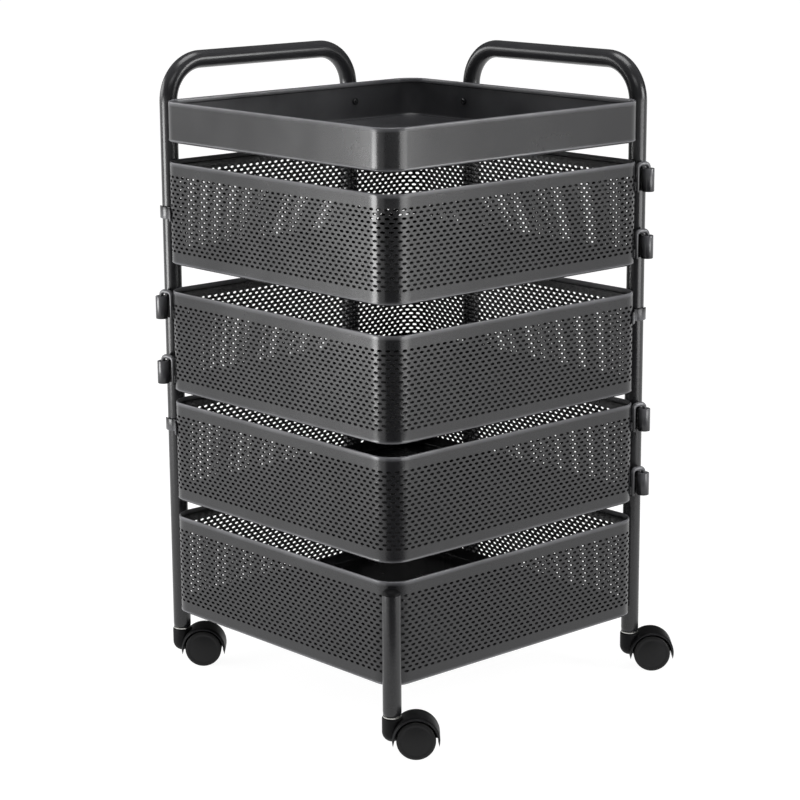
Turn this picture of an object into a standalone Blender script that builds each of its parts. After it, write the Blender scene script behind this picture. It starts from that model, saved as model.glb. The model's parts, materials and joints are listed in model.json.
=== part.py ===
"""Five-tier rolling trolley with swing-out baskets.

A square tower of one tray and four sheet-metal baskets stands between two bent-tube side frames and a
short front leg, on five twin-wheel casters. The three middle baskets hang on hook-and-sleeve hinges and
swing out sideways, the second and fourth on the right pole and the third on the left one.

Metres, +Z up. The origin is on the floor, under the middle of the trolley's outline.
"""

import math

import bmesh
import bpy
import numpy as np
from mathutils import Matrix, Vector

# Gap that touching pieces keep
GAP = 0.0003

# Tray and baskets
SIDE = 0.380
CORNER_R = 0.026
SHEET = 0.0012
FLOOR_FOLD_R = 0.004
HEM_HEIGHT = 0.005
HEM_THICKNESS = 0.0026
BASKET_HEIGHT = 0.115
TRAY_HEIGHT = 0.0455
BOTTOM_TO_FOURTH = 0.019
FOURTH_TO_THIRD = 0.0125
THIRD_TO_SECOND = 0.0305
SECOND_TO_TRAY = 0.0215

# Side frames and front leg
TUBE_R = 0.010
TUBE_WALL = 0.0012
POLE_INSET = 0.021
LEG_SPACING = 0.266
HANDLE_RISE = 0.041
HANDLE_BEND_R = 0.045
LEG_BELOW_BASKET = 0.0275
FRONT_LEG_BELOW_RIM = 0.010
CAP_DOME = 0.006
CAP_SPIGOT = 0.010

# Swing hinges
SLEEVE_R = 0.0068
SLEEVE_LENGTH = 0.026
HOOK_ROD_R = 0.0025
HOOK_BEND_R = 0.005
HOOK_ANGLE = math.radians(48)
HOOK_IN_SLEEVE = 0.020
HOOK_ABOVE_SLEEVE = 0.0005
UPPER_SLEEVE_BELOW_RIM = 0.009
LOWER_SLEEVE_ABOVE_FLOOR = 0.005

# Catch clips
CLIP_THICKNESS = 0.0022
CLIP_HEIGHT = 0.014
CLIP_CLEARANCE = 0.0004
SECOND_CLIP_ABOVE_FLOOR = 0.048
THIRD_CLIP_ABOVE_FLOOR = 0.079
FOURTH_CLIP_ABOVE_FLOOR = 0.076
CLIP_FOOT_ANGLE = math.radians(34)
CLIP_WRAP_START = math.radians(-55)
CLIP_WRAP_FROM_RELEASE = math.radians(-84)
CLIP_LEAD_ANGLE = math.radians(6)

# Screws
SCREW_R = 0.002
SCREW_HEAD_R = 0.004
SCREW_HEAD_HEIGHT = 0.0024
SCREW_PAST_TUBE_WALL = 0.004
SCREW_CLEARANCE = 0.0003
TRAY_SCREW_BELOW_RIM = 0.0225
BASE_SCREW_ABOVE_FLOOR = 0.058

# Casters
WHEEL_R = 0.021
WHEEL_WIDTH = 0.010
WHEEL_DOME = 0.0022
WHEEL_EDGE = 0.0015
WHEEL_BORE_DEPTH = 0.008
AXLE_R = 0.0025
CASTER_TRAIL = 0.025
WEB_THICKNESS = 0.011
WHEEL_SIDE_GAP = 0.0005
HOOD_CLEARANCE = 0.002
HOOD_WALL = 0.0025
HOOD_OVERHANG = 0.0008
HOOD_TIP_BELOW_AXLE = 0.002
AXLE_BOSS_R = 0.007
STEM_BOSS_R = 0.011
STEM_BOSS_RISE = 0.0005
STEM_PIN_R = 0.003
STEM_PIN_LENGTH = 0.016
STEM_PLUG_LENGTH = 0.028
STEM_PLUG_CHAMFER = 0.001
COLLAR_THICKNESS = 0.0016
CASTER_YAW = math.radians(48)

# Facets
CORNER_STEPS = 5
TUBE_SIDES = 16
BEND_STEPS = 6
ROD_SIDES = 8
WHEEL_SIDES = 20
HOOD_STEPS = 16
SMALL_SIDES = 12
HOOK_STEPS = 3
CLIP_STEPS = 5
FOLD_STEPS = 2
LOBE_STEPS = 6
SHARP_ANGLE = math.radians(32)

# Heights that follow from the sizes above, from the floor up
HOOD_R = WHEEL_R + HOOD_CLEARANCE + HOOD_WALL
HOOD_AT_BOSS = math.sqrt(HOOD_R**2 - (CASTER_TRAIL - STEM_BOSS_R) ** 2)
STEM_BOSS_TOP = WHEEL_R + HOOD_AT_BOSS + STEM_BOSS_RISE
COLLAR_TOP = STEM_BOSS_TOP + GAP + COLLAR_THICKNESS
LEG_END = COLLAR_TOP + GAP
BOTTOM_FLOOR = LEG_END + LEG_BELOW_BASKET
FOURTH_FLOOR = BOTTOM_FLOOR + BASKET_HEIGHT + BOTTOM_TO_FOURTH
THIRD_FLOOR = FOURTH_FLOOR + BASKET_HEIGHT + FOURTH_TO_THIRD
SECOND_FLOOR = THIRD_FLOOR + BASKET_HEIGHT + THIRD_TO_SECOND
TRAY_FLOOR = SECOND_FLOOR + BASKET_HEIGHT + SECOND_TO_TRAY
HANDLE_Z = TRAY_FLOOR + TRAY_HEIGHT + HANDLE_RISE
FRONT_LEG_TOP = BOTTOM_FLOOR + BASKET_HEIGHT - FRONT_LEG_BELOW_RIM

# Places in plan that follow from the sizes above, from the tower's middle
HALF = SIDE / 2
CORNER_C = HALF - CORNER_R
POLE_OUT = HALF + GAP + TUBE_R
POLE_ALONG = HALF - POLE_INSET
TUBE_BORE_R = TUBE_R - TUBE_WALL
FRONT_POLE = Vector((-POLE_OUT, -POLE_ALONG, 0))
REAR_POLE = Vector((-POLE_OUT, -POLE_ALONG + LEG_SPACING, 0))
FRONT_LEG_OUT = CORNER_R + GAP + TUBE_R
FRONT_LEG = Vector((CORNER_C, -CORNER_C, 0)) + FRONT_LEG_OUT * Vector((1, -1, 0)).normalized()

# Seat of a screw head inside a tub, from the line of the corner centres: on a flat wall, in a round corner
FLAT_SEAT = CORNER_R - SHEET - GAP
CORNER_INSIDE_R = (CORNER_R - SHEET) * math.cos(math.pi / 4 / CORNER_STEPS)
CORNER_SEAT = math.sqrt(CORNER_INSIDE_R**2 - SCREW_HEAD_R**2) - GAP


def other_side(point):
    """Mirror a place on the left half of the tower across the front-to-back diagonal, to the right half."""
    return Vector((-point.y, -point.x, point.z))


def material(name, colour, metallic, roughness):
    """One Principled material with the finish of a group of pieces."""
    made = bpy.data.materials.new(name)
    made.use_nodes = True
    shader = made.node_tree.nodes["Principled BSDF"]
    shader.inputs["Base Color"].default_value = (*colour, 1)
    shader.inputs["Metallic"].default_value = metallic
    shader.inputs["Roughness"].default_value = roughness
    return made


def mesh_from(name, points, faces):
    """A closed mesh with its faces pointing out."""
    mesh = bpy.data.meshes.new(name)
    mesh.from_pydata([tuple(point) for point in points], [], faces)
    shape = bmesh.new()
    shape.from_mesh(mesh)
    bmesh.ops.recalc_face_normals(shape, faces=shape.faces)
    shape.to_mesh(mesh)
    shape.free()
    return mesh


def add(name, mesh, finish, parent, place=(0, 0, 0), turn=(0, 0, 0)):
    """A named piece of the trolley, placed and turned under its parent."""
    piece = bpy.data.objects.new(name, mesh)
    bpy.context.scene.collection.objects.link(piece)
    if not mesh.materials:
        mesh.materials.append(finish)
    mesh.shade_smooth()
    mesh.set_sharp_from_angle(angle=SHARP_ANGLE)
    piece.parent = parent
    piece.location = place
    piece.rotation_euler = turn
    return piece


def pivot(name, parent, place, turn=0.0):
    """An empty on a joint's axis."""
    made = bpy.data.objects.new(name, None)
    bpy.context.scene.collection.objects.link(made)
    made.parent = parent
    made.location = place
    made.rotation_euler = (0, 0, turn)
    return made


def cutter_from(name, mesh, parent=None, place=(0, 0, 0), turn=(0, 0, 0)):
    """A hidden helper that only cuts or adds to a piece."""
    helper = bpy.data.objects.new(name, mesh)
    bpy.context.scene.collection.objects.link(helper)
    helper.parent = parent
    helper.location = place
    helper.rotation_euler = turn
    helper.hide_render = True
    helper.display_type = "WIRE"
    return helper


def combine(piece, other, operation):
    """Cut or join another shape into a piece."""
    modifier = piece.modifiers.new(other.name, "BOOLEAN")
    modifier.operation = operation
    modifier.solver = "EXACT"
    modifier.object = other


def ring_faces(rings, sides):
    """Quads between rings of points, each ring having the same number of points."""
    faces = []
    for ring in range(rings - 1):
        for side in range(sides):
            following = (side + 1) % sides
            base = ring * sides
            above = base + sides
            faces.append((base + side, base + following, above + following, above + side))
    return faces


def lathe(name, profile, sides, around=False):
    """Solid of revolution about Z. The profile lists (radius, height) and both its ends lie on the axis.

    With around, the flat sides touch the true radius, so that a wheel stands on a flat.
    """
    grow = 1 / math.cos(math.pi / sides) if around else 1.0
    inner = profile[1:-1]
    points = []
    for radius, height in inner:
        for side in range(sides):
            angle = 2 * math.pi * (side + 0.5) / sides
            points.append((grow * radius * math.cos(angle), grow * radius * math.sin(angle), height))
    faces = ring_faces(len(inner), sides)
    for ring, height in ((0, profile[0][1]), (len(inner) - 1, profile[-1][1])):
        centre = len(points)
        points.append((0, 0, height))
        for side in range(sides):
            faces.append((ring * sides + side, ring * sides + (side + 1) % sides, centre))
    return mesh_from(name, points, faces)


def cylinder(name, radius, low, high, sides):
    """Upright solid cylinder."""
    return lathe(name, [(0, high), (radius, high), (radius, low), (0, low)], sides)


def sweep(name, path, radius, sides, bore=0.0):
    """Round rod along a path that lies in one plane, or a tube open at both ends if it has a bore."""
    path = [Vector(point) for point in path]
    steps = [(after - before).normalized() for before, after in zip(path, path[1:])]
    tangents = [steps[0]] + [(a + b).normalized() for a, b in zip(steps, steps[1:])] + [steps[-1]]
    across = steps[0].cross(steps[len(steps) // 2])
    if across.length < 1e-6:
        across = steps[0].orthogonal()
    across.normalize()
    walls = []
    for size in ([radius, bore] if bore else [radius]):
        for point, tangent in zip(path, tangents):
            normal = tangent.cross(across)
            for side in range(sides):
                angle = 2 * math.pi * side / sides
                walls.append(point + size * (math.cos(angle) * normal + math.sin(angle) * across))
    rings = len(path)
    faces = ring_faces(rings, sides)
    if not bore:
        faces.append(tuple(range(sides)))
        faces.append(tuple(range((rings - 1) * sides, rings * sides)))
        return mesh_from(name, walls, faces)
    offset = rings * sides
    faces += [tuple(offset + index for index in face) for face in ring_faces(rings, sides)]
    for ring in (0, rings - 1):
        for side in range(sides):
            here = ring * sides + side
            following = ring * sides + (side + 1) % sides
            faces.append((here, following, offset + following, offset + here))
    return mesh_from(name, walls, faces)


def bend(centre, radius, start, stop, first, second, steps):
    """Points along an arc. Angle 0 lies along the first direction and a right angle along the second."""
    points = []
    for step in range(steps + 1):
        angle = start + (stop - start) * step / steps
        points.append(centre + radius * (math.cos(angle) * first + math.sin(angle) * second))
    return points


def arch(start, stop, top, radius, steps):
    """Path of an inverted U: up from start, a quarter bend, across the top, a quarter bend, down to stop."""
    up = Vector((0, 0, 1))
    across = Vector((stop.x - start.x, stop.y - start.y, 0)).normalized()
    rising = Vector((start.x, start.y, top - radius)) + radius * across
    falling = Vector((stop.x, stop.y, top - radius)) - radius * across
    quarter = math.pi / 2
    first = bend(rising, radius, 2 * quarter, quarter, across, up, steps)
    second = bend(falling, radius, quarter, 0, across, up, steps)
    return [start] + first + second + [stop]


def tub(name, height):
    """Open square sheet-metal box with round corners, a folded bottom edge and a hemmed rim.

    Each (inset, height) of the wall's section becomes one ring, whose corners keep their centres.
    """
    section = []
    folds = [math.pi / 2 * step / FOLD_STEPS for step in range(FOLD_STEPS + 1)]
    for turn in folds:
        section.append((FLOOR_FOLD_R * (1 - math.sin(turn)), FLOOR_FOLD_R * (1 - math.cos(turn))))
    round_over = HEM_THICKNESS / 4
    section.append((0, height - round_over))
    section.append((round_over, height))
    section.append((HEM_THICKNESS - round_over, height))
    section.append((HEM_THICKNESS, height - round_over))
    section.append((HEM_THICKNESS, height - HEM_HEIGHT))
    section.append((SHEET, height - HEM_HEIGHT - HEM_THICKNESS + SHEET))
    inside_r = FLOOR_FOLD_R - SHEET
    for turn in reversed(folds):
        rise = FLOOR_FOLD_R - inside_r * math.cos(turn)
        section.append((FLOOR_FOLD_R - inside_r * math.sin(turn), rise))
    sides = 4 * (CORNER_STEPS + 1)
    points = []
    for inset, rise in section:
        for corner in range(4):
            middle = math.pi / 2 * corner + math.pi / 4
            centre = math.sqrt(2) * CORNER_C * Vector((math.cos(middle), math.sin(middle), 0))
            for step in range(CORNER_STEPS + 1):
                angle = math.pi / 2 * (corner + step / CORNER_STEPS)
                outward = Vector((math.cos(angle), math.sin(angle), 0))
                points.append(centre + (CORNER_R - inset) * outward + Vector((0, 0, rise)))
    faces = ring_faces(len(section), sides)
    faces.append(tuple(range(sides)))
    faces.append(tuple(range((len(section) - 1) * sides, len(section) * sides)))
    return mesh_from(name, points, faces)


def side_frame_mesh(front, rear):
    """Tube bent to an inverted U between two legs. The bend on top is the handle."""
    base = Vector((0, 0, LEG_END))
    path = arch(front + base, rear + base, HANDLE_Z, HANDLE_BEND_R, BEND_STEPS)
    return sweep("side_frame", path, TUBE_R, TUBE_SIDES, TUBE_BORE_R)


def front_leg_pieces(finish, plastic, tower):
    """Short tube at the front corner with its domed cap."""
    ends = [FRONT_LEG + Vector((0, 0, LEG_END)), FRONT_LEG + Vector((0, 0, FRONT_LEG_TOP))]
    leg = add("front_leg", sweep("front_leg", ends, TUBE_R, TUBE_SIDES, TUBE_BORE_R), finish, tower)
    spigot_r = TUBE_BORE_R - GAP
    profile = [(0, GAP + CAP_DOME)]
    for degrees in (30, 60, 90):
        lean = math.radians(degrees)
        profile.append((TUBE_R * math.sin(lean), GAP + CAP_DOME * math.cos(lean)))
    profile += [(spigot_r, GAP), (spigot_r, -CAP_SPIGOT), (0, -CAP_SPIGOT)]
    place = FRONT_LEG + Vector((0, 0, FRONT_LEG_TOP))
    add("front_leg_cap", lathe("front_leg_cap", profile, TUBE_SIDES), plastic, tower, place)
    return leg


def screw_mesh(length):
    """Pan-head screw along Z, with the seat of its head at the origin and its shank pointing up."""
    head = SCREW_HEAD_HEIGHT
    profile = [
        (0, length),
        (SCREW_R, length),
        (SCREW_R, 0),
        (SCREW_HEAD_R, 0),
        (SCREW_HEAD_R, -head / 2),
        (SCREW_HEAD_R * 0.7, -head),
        (0, -head),
    ]
    return lathe("screw", profile, SMALL_SIDES)


def fasten(name, finish, tower, tub_piece, tube, pole, height):
    """One screw from inside a tub, through its wall and into the tube that stands against it."""
    foot = Vector((np.clip(pole.x, -CORNER_C, CORNER_C), np.clip(pole.y, -CORNER_C, CORNER_C), 0))
    outward = pole - foot
    in_corner = abs(outward.x) > GAP and abs(outward.y) > GAP
    to_seat = CORNER_SEAT if in_corner else FLAT_SEAT
    to_tube = outward.length - TUBE_R - to_seat
    outward.normalize()
    seat = foot + to_seat * outward + Vector((0, 0, height))
    aim = Vector((0, 0, 1)).rotation_difference(outward).to_euler()
    shank = to_tube + TUBE_WALL + SCREW_PAST_TUBE_WALL
    add(name, screw_mesh(shank), finish, tower, seat, aim)
    bore = cylinder("screw_hole", SCREW_R + SCREW_CLEARANCE, -SHEET, to_tube + TUBE_R, SMALL_SIDES)
    hole = cutter_from(name + "_hole", bore, tower, seat, aim)
    combine(tub_piece, hole, "DIFFERENCE")
    combine(tube, hole, "DIFFERENCE")


def hinge_axis(right):
    """Place of a swing hinge, beside the front pole of the left or right frame."""
    left = FRONT_POLE + Vector((0, -(TUBE_R + GAP + SLEEVE_R), 0))
    return other_side(left) if right else left


def sleeve_mesh():
    """Short thick tube that stands on its lower end."""
    ends = [Vector((0, 0, 0)), Vector((0, 0, SLEEVE_LENGTH))]
    return sweep("hinge_sleeve", ends, SLEEVE_R, SMALL_SIDES, HOOK_ROD_R + GAP)


def hook_mesh(right):
    """Bent rod: one leg along the basket's corner, an arch over the sleeve, one leg in the sleeve's bore.

    Heights count from the sleeve's lower end and places from the hinge's axis.
    """
    reach = CORNER_R + GAP + HOOK_ROD_R
    on_right = Vector((CORNER_C + reach * math.cos(HOOK_ANGLE), CORNER_C + reach * math.sin(HOOK_ANGLE), 0))
    welded = on_right if right else other_side(on_right)
    welded = welded - hinge_axis(right)
    top = SLEEVE_LENGTH + HOOK_ABOVE_SLEEVE + HOOK_BEND_R
    free_end = Vector((0, 0, SLEEVE_LENGTH - HOOK_IN_SLEEVE))
    path = arch(welded, free_end, top, HOOK_BEND_R, HOOK_STEPS)
    return sweep("hinge_hook", path, HOOK_ROD_R, ROD_SIDES)


def clip_mesh(right):
    """Strap from the basket's far corner round the front of the other pole, open the way the basket leaves.

    Places count from the tower's middle. A basket hinged on the right is caught on the left pole.
    """
    pole = Vector(FRONT_POLE)
    corner = Vector((-CORNER_C, -CORNER_C, 0))
    from_hinge = pole - hinge_axis(True)
    release = math.atan2(from_hinge.x, -from_hinge.y)
    wrap_r = TUBE_R + CLIP_CLEARANCE + CLIP_THICKNESS / 2
    foot_r = CORNER_R + GAP + CLIP_THICKNESS / 2
    along_x = Vector((1, 0, 0))
    along_y = Vector((0, 1, 0))
    wrap_end = release + CLIP_WRAP_FROM_RELEASE
    wrap = bend(pole, wrap_r, CLIP_WRAP_START, wrap_end, along_x, along_y, CLIP_STEPS)
    lead = wrap[0] - corner
    foot_end = math.atan2(lead.y, lead.x) + CLIP_LEAD_ANGLE
    foot = bend(corner, foot_r, foot_end + CLIP_FOOT_ANGLE, foot_end, along_x, along_y, CLIP_STEPS)
    line = foot + wrap
    if not right:
        line = [other_side(point) for point in line]
    points = []
    for index, point in enumerate(line):
        before = line[max(index - 1, 0)]
        after = line[min(index + 1, len(line) - 1)]
        heading = (after - before).normalized()
        sideways = Vector((-heading.y, heading.x, 0)) * CLIP_THICKNESS / 2
        for edge, rise in ((sideways, 0), (-sideways, 0), (-sideways, CLIP_HEIGHT), (sideways, CLIP_HEIGHT)):
            points.append(point + edge + Vector((0, 0, rise)))
    faces = ring_faces(len(line), 4)
    faces.append((0, 1, 2, 3))
    faces.append(tuple(range(4 * (len(line) - 1), 4 * len(line))))
    return mesh_from("catch_clip", points, faces)


def swing_basket(name, floor, clip_rise, right, painted, tower):
    """A basket with its two hooks and its clip on one pivot, and the two sleeves on the pole."""
    axis = hinge_axis(right)
    swing = pivot(name + "_swing", tower, axis + Vector((0, 0, floor)))
    add(name + "_basket", tub(name + "_basket", BASKET_HEIGHT), painted, swing, -axis)
    upper = BASKET_HEIGHT - UPPER_SLEEVE_BELOW_RIM - SLEEVE_LENGTH
    for level, rise in (("upper", upper), ("lower", LOWER_SLEEVE_ABOVE_FLOOR)):
        lift = Vector((0, 0, rise))
        add(f"{name}_{level}_hook", hook_mesh(right), painted, swing, lift)
        add(f"{name}_{level}_sleeve", sleeve_mesh(), painted, tower, axis + lift + Vector((0, 0, floor)))
    add(name + "_catch_clip", clip_mesh(right), painted, swing, Vector((0, 0, clip_rise)) - axis)


def stem_mesh():
    """Steel stem: a plug up the tube, a collar under the tube's end and a pin down into the hood."""
    plug_r = TUBE_BORE_R - GAP
    low = COLLAR_TOP - COLLAR_THICKNESS
    plug_top = LEG_END + STEM_PLUG_LENGTH
    profile = [
        (0, plug_top),
        (plug_r - STEM_PLUG_CHAMFER, plug_top),
        (plug_r, plug_top - STEM_PLUG_CHAMFER),
        (plug_r, COLLAR_TOP),
        (TUBE_R, COLLAR_TOP),
        (TUBE_R, low),
        (STEM_PIN_R, low),
        (STEM_PIN_R, low - STEM_PIN_LENGTH),
        (0, low - STEM_PIN_LENGTH),
    ]
    return lathe("caster_stem", profile, SMALL_SIDES)


def hood_outline():
    """Side view of the hood along its length and height: a half disc with a lobe round the axle."""
    along_x = Vector((1, 0, 0))
    along_z = Vector((0, 0, 1))
    axle = Vector((CASTER_TRAIL, 0, WHEEL_R))
    drop = math.asin(HOOD_TIP_BELOW_AXLE / HOOD_R)
    outer = bend(axle, HOOD_R, -drop, math.pi + drop, along_x, along_z, HOOD_STEPS)
    lobe = math.asin(HOOD_TIP_BELOW_AXLE / AXLE_BOSS_R)
    return outer + bend(axle, AXLE_BOSS_R, math.pi + lobe, 2 * math.pi - lobe, along_x, along_z, LOBE_STEPS)


def extrude_along_y(name, outline, half_width):
    """Solid between two copies of an upright outline."""
    count = len(outline)
    points = [point + Vector((0, -half_width, 0)) for point in outline]
    points += [point + Vector((0, half_width, 0)) for point in outline]
    faces = ring_faces(2, count)
    faces.append(tuple(range(count)))
    faces.append(tuple(range(count, 2 * count)))
    return mesh_from(name, points, faces)


def hood_mesh():
    """Caster hood: a half drum with a boss for the stem, hollowed by a well for each wheel and bored twice.

    Places count from the stem's axis on the floor. The wheels trail along +X.
    """
    half_web = WEB_THICKNESS / 2
    half_width = half_web + WHEEL_SIDE_GAP + WHEEL_WIDTH + HOOD_OVERHANG
    blank = bpy.data.objects.new("hood_blank", extrude_along_y("hood_blank", hood_outline(), half_width))
    bpy.context.scene.collection.objects.link(blank)
    boss = cylinder("stem_boss", STEM_BOSS_R, WHEEL_R, STEM_BOSS_TOP, TUBE_SIDES)
    helpers = [cutter_from("stem_boss", boss)]
    combine(blank, helpers[0], "UNION")
    axle_line = Matrix.Translation((CASTER_TRAIL, 0, WHEEL_R)) @ Matrix.Rotation(math.pi / 2, 4, "X")
    well_r = WHEEL_R + HOOD_CLEARANCE
    beyond = half_width + STEM_BOSS_R
    pin_end = COLLAR_TOP - COLLAR_THICKNESS - STEM_PIN_LENGTH - GAP
    cuts = [
        ("left_well", cylinder("left_well", well_r, half_web, beyond, WHEEL_SIDES), axle_line),
        ("right_well", cylinder("right_well", well_r, -beyond, -half_web, WHEEL_SIDES), axle_line),
        ("axle_bore", cylinder("axle_bore", AXLE_R + GAP, -half_width, half_width, SMALL_SIDES), axle_line),
        ("stem_bore", cylinder("stem_bore", STEM_PIN_R + GAP, pin_end, COLLAR_TOP, SMALL_SIDES), Matrix()),
    ]
    for name, mesh, place in cuts:
        mesh.transform(place)
        helper = cutter_from(name, mesh)
        combine(blank, helper, "DIFFERENCE")
        helpers.append(helper)
    bpy.context.view_layer.update()
    finished = blank.evaluated_get(bpy.context.evaluated_depsgraph_get())
    mesh = bpy.data.meshes.new_from_object(finished)
    for helper in [blank] + helpers:
        bpy.data.objects.remove(helper)
    return mesh


def wheel_mesh():
    """Wheel with its axis along Z: flat inner face at the origin with a blind bore, domed face on top."""
    bore_r = AXLE_R + GAP
    rim = WHEEL_R - WHEEL_EDGE
    dome = WHEEL_WIDTH + WHEEL_DOME
    profile = [
        (0, dome),
        (rim * 0.6, WHEEL_WIDTH + WHEEL_DOME * 0.7),
        (rim, WHEEL_WIDTH),
        (WHEEL_R, WHEEL_WIDTH - WHEEL_EDGE),
        (WHEEL_R, WHEEL_EDGE),
        (rim, 0),
        (bore_r, 0),
        (bore_r, WHEEL_BORE_DEPTH),
        (0, WHEEL_BORE_DEPTH),
    ]
    return lathe("caster_wheel", profile, WHEEL_SIDES, around=True)


def caster(name, place, shapes, finishes, tower):
    """Stem fixed in a tube end, a hood that swivels on it, and a wheel pair that spins in the hood."""
    steel, plastic, tread = finishes
    stem, hood, wheel, axle = shapes
    add(name + "_caster_stem", stem, steel, tower, place)
    swivel = pivot(name + "_caster_swivel", tower, place, CASTER_YAW)
    add(name + "_caster_hood", hood, plastic, swivel)
    spin = pivot(name + "_caster_spin", swivel, (CASTER_TRAIL, 0, WHEEL_R))
    inner_face = WEB_THICKNESS / 2 + WHEEL_SIDE_GAP
    quarter = math.pi / 2
    add(name + "_caster_axle", axle, steel, spin, turn=(quarter, 0, 0))
    add(name + "_caster_near_wheel", wheel, tread, spin, (0, -inner_face, 0), (quarter, 0, 0))
    add(name + "_caster_far_wheel", wheel, tread, spin, (0, inner_face, 0), (-quarter, 0, 0))


def centre_on_floor(tower):
    """Move the tower so that the origin lies under the middle of the trolley's outline."""
    bpy.context.view_layer.update()
    graph = bpy.context.evaluated_depsgraph_get()
    corners = []
    for piece in bpy.context.scene.objects:
        if piece.type == "MESH" and not piece.hide_render:
            shown = piece.evaluated_get(graph)
            points = np.empty(len(shown.data.vertices) * 3)
            shown.data.vertices.foreach_get("co", points)
            turn = np.array(shown.matrix_world)
            corners.append(points.reshape(-1, 3) @ turn[:3, :3].T + turn[:3, 3])
    corners = np.concatenate(corners)
    middle = (corners.min(axis=0) + corners.max(axis=0)) / 2
    tower.location.x -= middle[0]
    tower.location.y -= middle[1]


def main():
    """Build the trolley."""
    for old in list(bpy.data.objects):
        bpy.data.objects.remove(old)
    painted = material("black_powder_coat", (0.042, 0.042, 0.045), 0.0, 0.42)
    plastic = material("black_plastic", (0.012, 0.012, 0.013), 0.0, 0.45)
    tread = material("wheel_plastic", (0.015, 0.015, 0.016), 0.0, 0.5)
    steel = material("zinc_steel", (0.62, 0.62, 0.6), 1.0, 0.3)
    tower = pivot("tower", None, (0, 0, 0))

    left_frame = add("left_side_frame", side_frame_mesh(FRONT_POLE, REAR_POLE), painted, tower)
    right_mesh = side_frame_mesh(other_side(FRONT_POLE), other_side(REAR_POLE))
    right_frame = add("right_side_frame", right_mesh, painted, tower)
    leg = front_leg_pieces(painted, plastic, tower)

    tray = add("top_tray", tub("top_tray", TRAY_HEIGHT), painted, tower, (0, 0, TRAY_FLOOR))
    bottom = add("bottom_basket", tub("bottom_basket", BASKET_HEIGHT), painted, tower, (0, 0, BOTTOM_FLOOR))
    swing_basket("second", SECOND_FLOOR, SECOND_CLIP_ABOVE_FLOOR, True, painted, tower)
    swing_basket("third", THIRD_FLOOR, THIRD_CLIP_ABOVE_FLOOR, False, painted, tower)
    swing_basket("fourth", FOURTH_FLOOR, FOURTH_CLIP_ABOVE_FLOOR, True, painted, tower)

    poles = {
        "left_front": (left_frame, FRONT_POLE),
        "left_rear": (left_frame, REAR_POLE),
        "right_front": (right_frame, other_side(FRONT_POLE)),
        "right_rear": (right_frame, other_side(REAR_POLE)),
    }
    in_tray = TRAY_FLOOR + TRAY_HEIGHT - TRAY_SCREW_BELOW_RIM
    in_bottom = BOTTOM_FLOOR + BASE_SCREW_ABOVE_FLOOR
    for name, (frame, pole) in poles.items():
        fasten("tray_screw_" + name, painted, tower, tray, frame, pole, in_tray)
        fasten("base_screw_" + name, painted, tower, bottom, frame, pole, in_bottom)
    fasten("base_screw_front_leg", painted, tower, bottom, leg, FRONT_LEG, in_bottom)

    half_axle = WEB_THICKNESS / 2 + WHEEL_SIDE_GAP + WHEEL_BORE_DEPTH - GAP
    axle = cylinder("caster_axle", AXLE_R, -half_axle, half_axle, SMALL_SIDES)
    shapes = (stem_mesh(), hood_mesh(), wheel_mesh(), axle)
    finishes = (steel, plastic, tread)
    for name, (frame, pole) in poles.items():
        caster(name, pole, shapes, finishes, tower)
    caster("front_leg", FRONT_LEG, shapes, finishes, tower)
    centre_on_floor(tower)


main()
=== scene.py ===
# %% [markdown]
# # A rolling trolley with swing-out baskets
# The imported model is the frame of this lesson: every body, joint and node is already in its place.
# The script keeps that frame and dresses it. It replaces the faceted solids by smooth or perforated
# surfaces worked out with numpy, gives each one a finish made of shader nodes, and then sets up a pale
# studio and the camera. Nothing is read from disk apart from the frame.

# %% Load the frame
import json
import math

import bpy
import numpy as np
from mathutils import Matrix, Vector

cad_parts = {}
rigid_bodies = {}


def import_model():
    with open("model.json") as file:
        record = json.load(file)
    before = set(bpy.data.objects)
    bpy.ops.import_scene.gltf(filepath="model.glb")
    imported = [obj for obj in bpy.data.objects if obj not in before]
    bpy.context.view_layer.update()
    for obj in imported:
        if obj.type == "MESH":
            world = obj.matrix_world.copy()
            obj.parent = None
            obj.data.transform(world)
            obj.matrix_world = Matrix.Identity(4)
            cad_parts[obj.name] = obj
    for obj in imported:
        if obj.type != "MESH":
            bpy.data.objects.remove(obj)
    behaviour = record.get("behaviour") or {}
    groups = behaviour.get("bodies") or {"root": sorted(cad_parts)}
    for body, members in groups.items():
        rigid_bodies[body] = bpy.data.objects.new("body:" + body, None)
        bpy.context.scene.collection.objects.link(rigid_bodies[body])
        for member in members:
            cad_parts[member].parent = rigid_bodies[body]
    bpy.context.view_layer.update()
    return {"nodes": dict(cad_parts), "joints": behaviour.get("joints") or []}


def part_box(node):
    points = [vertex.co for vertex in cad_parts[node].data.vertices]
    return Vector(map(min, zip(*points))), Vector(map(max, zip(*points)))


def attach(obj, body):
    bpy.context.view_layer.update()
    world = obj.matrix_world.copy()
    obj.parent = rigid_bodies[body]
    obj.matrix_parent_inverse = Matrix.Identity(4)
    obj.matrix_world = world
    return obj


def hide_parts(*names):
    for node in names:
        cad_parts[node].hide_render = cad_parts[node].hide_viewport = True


for old in list(bpy.data.objects):
    bpy.data.objects.remove(old)
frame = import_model()
joints = {joint["name"]: joint for joint in frame["joints"]}

# %% [markdown]
# ## The camera
# The trolley is seen corner-on and from a little above. A long lens from almost three metres away keeps
# the uprights nearly parallel. The focal length is worked out in pixels of an 800 pixel frame, and a
# 36 mm sensor turns it into millimetres.

# %% Camera
FRAME_PIXELS = 800
FOCAL_PIXELS = 2452
SENSOR_MM = 36
CAMERA_AZIMUTH = math.radians(47.85)
CAMERA_ELEVATION = math.radians(13.04)
CAMERA_ROLL = math.radians(-0.33)
CAMERA_DISTANCE = 2.777
AIM = Vector((-0.01356, -0.02627, 0.3228))

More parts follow.
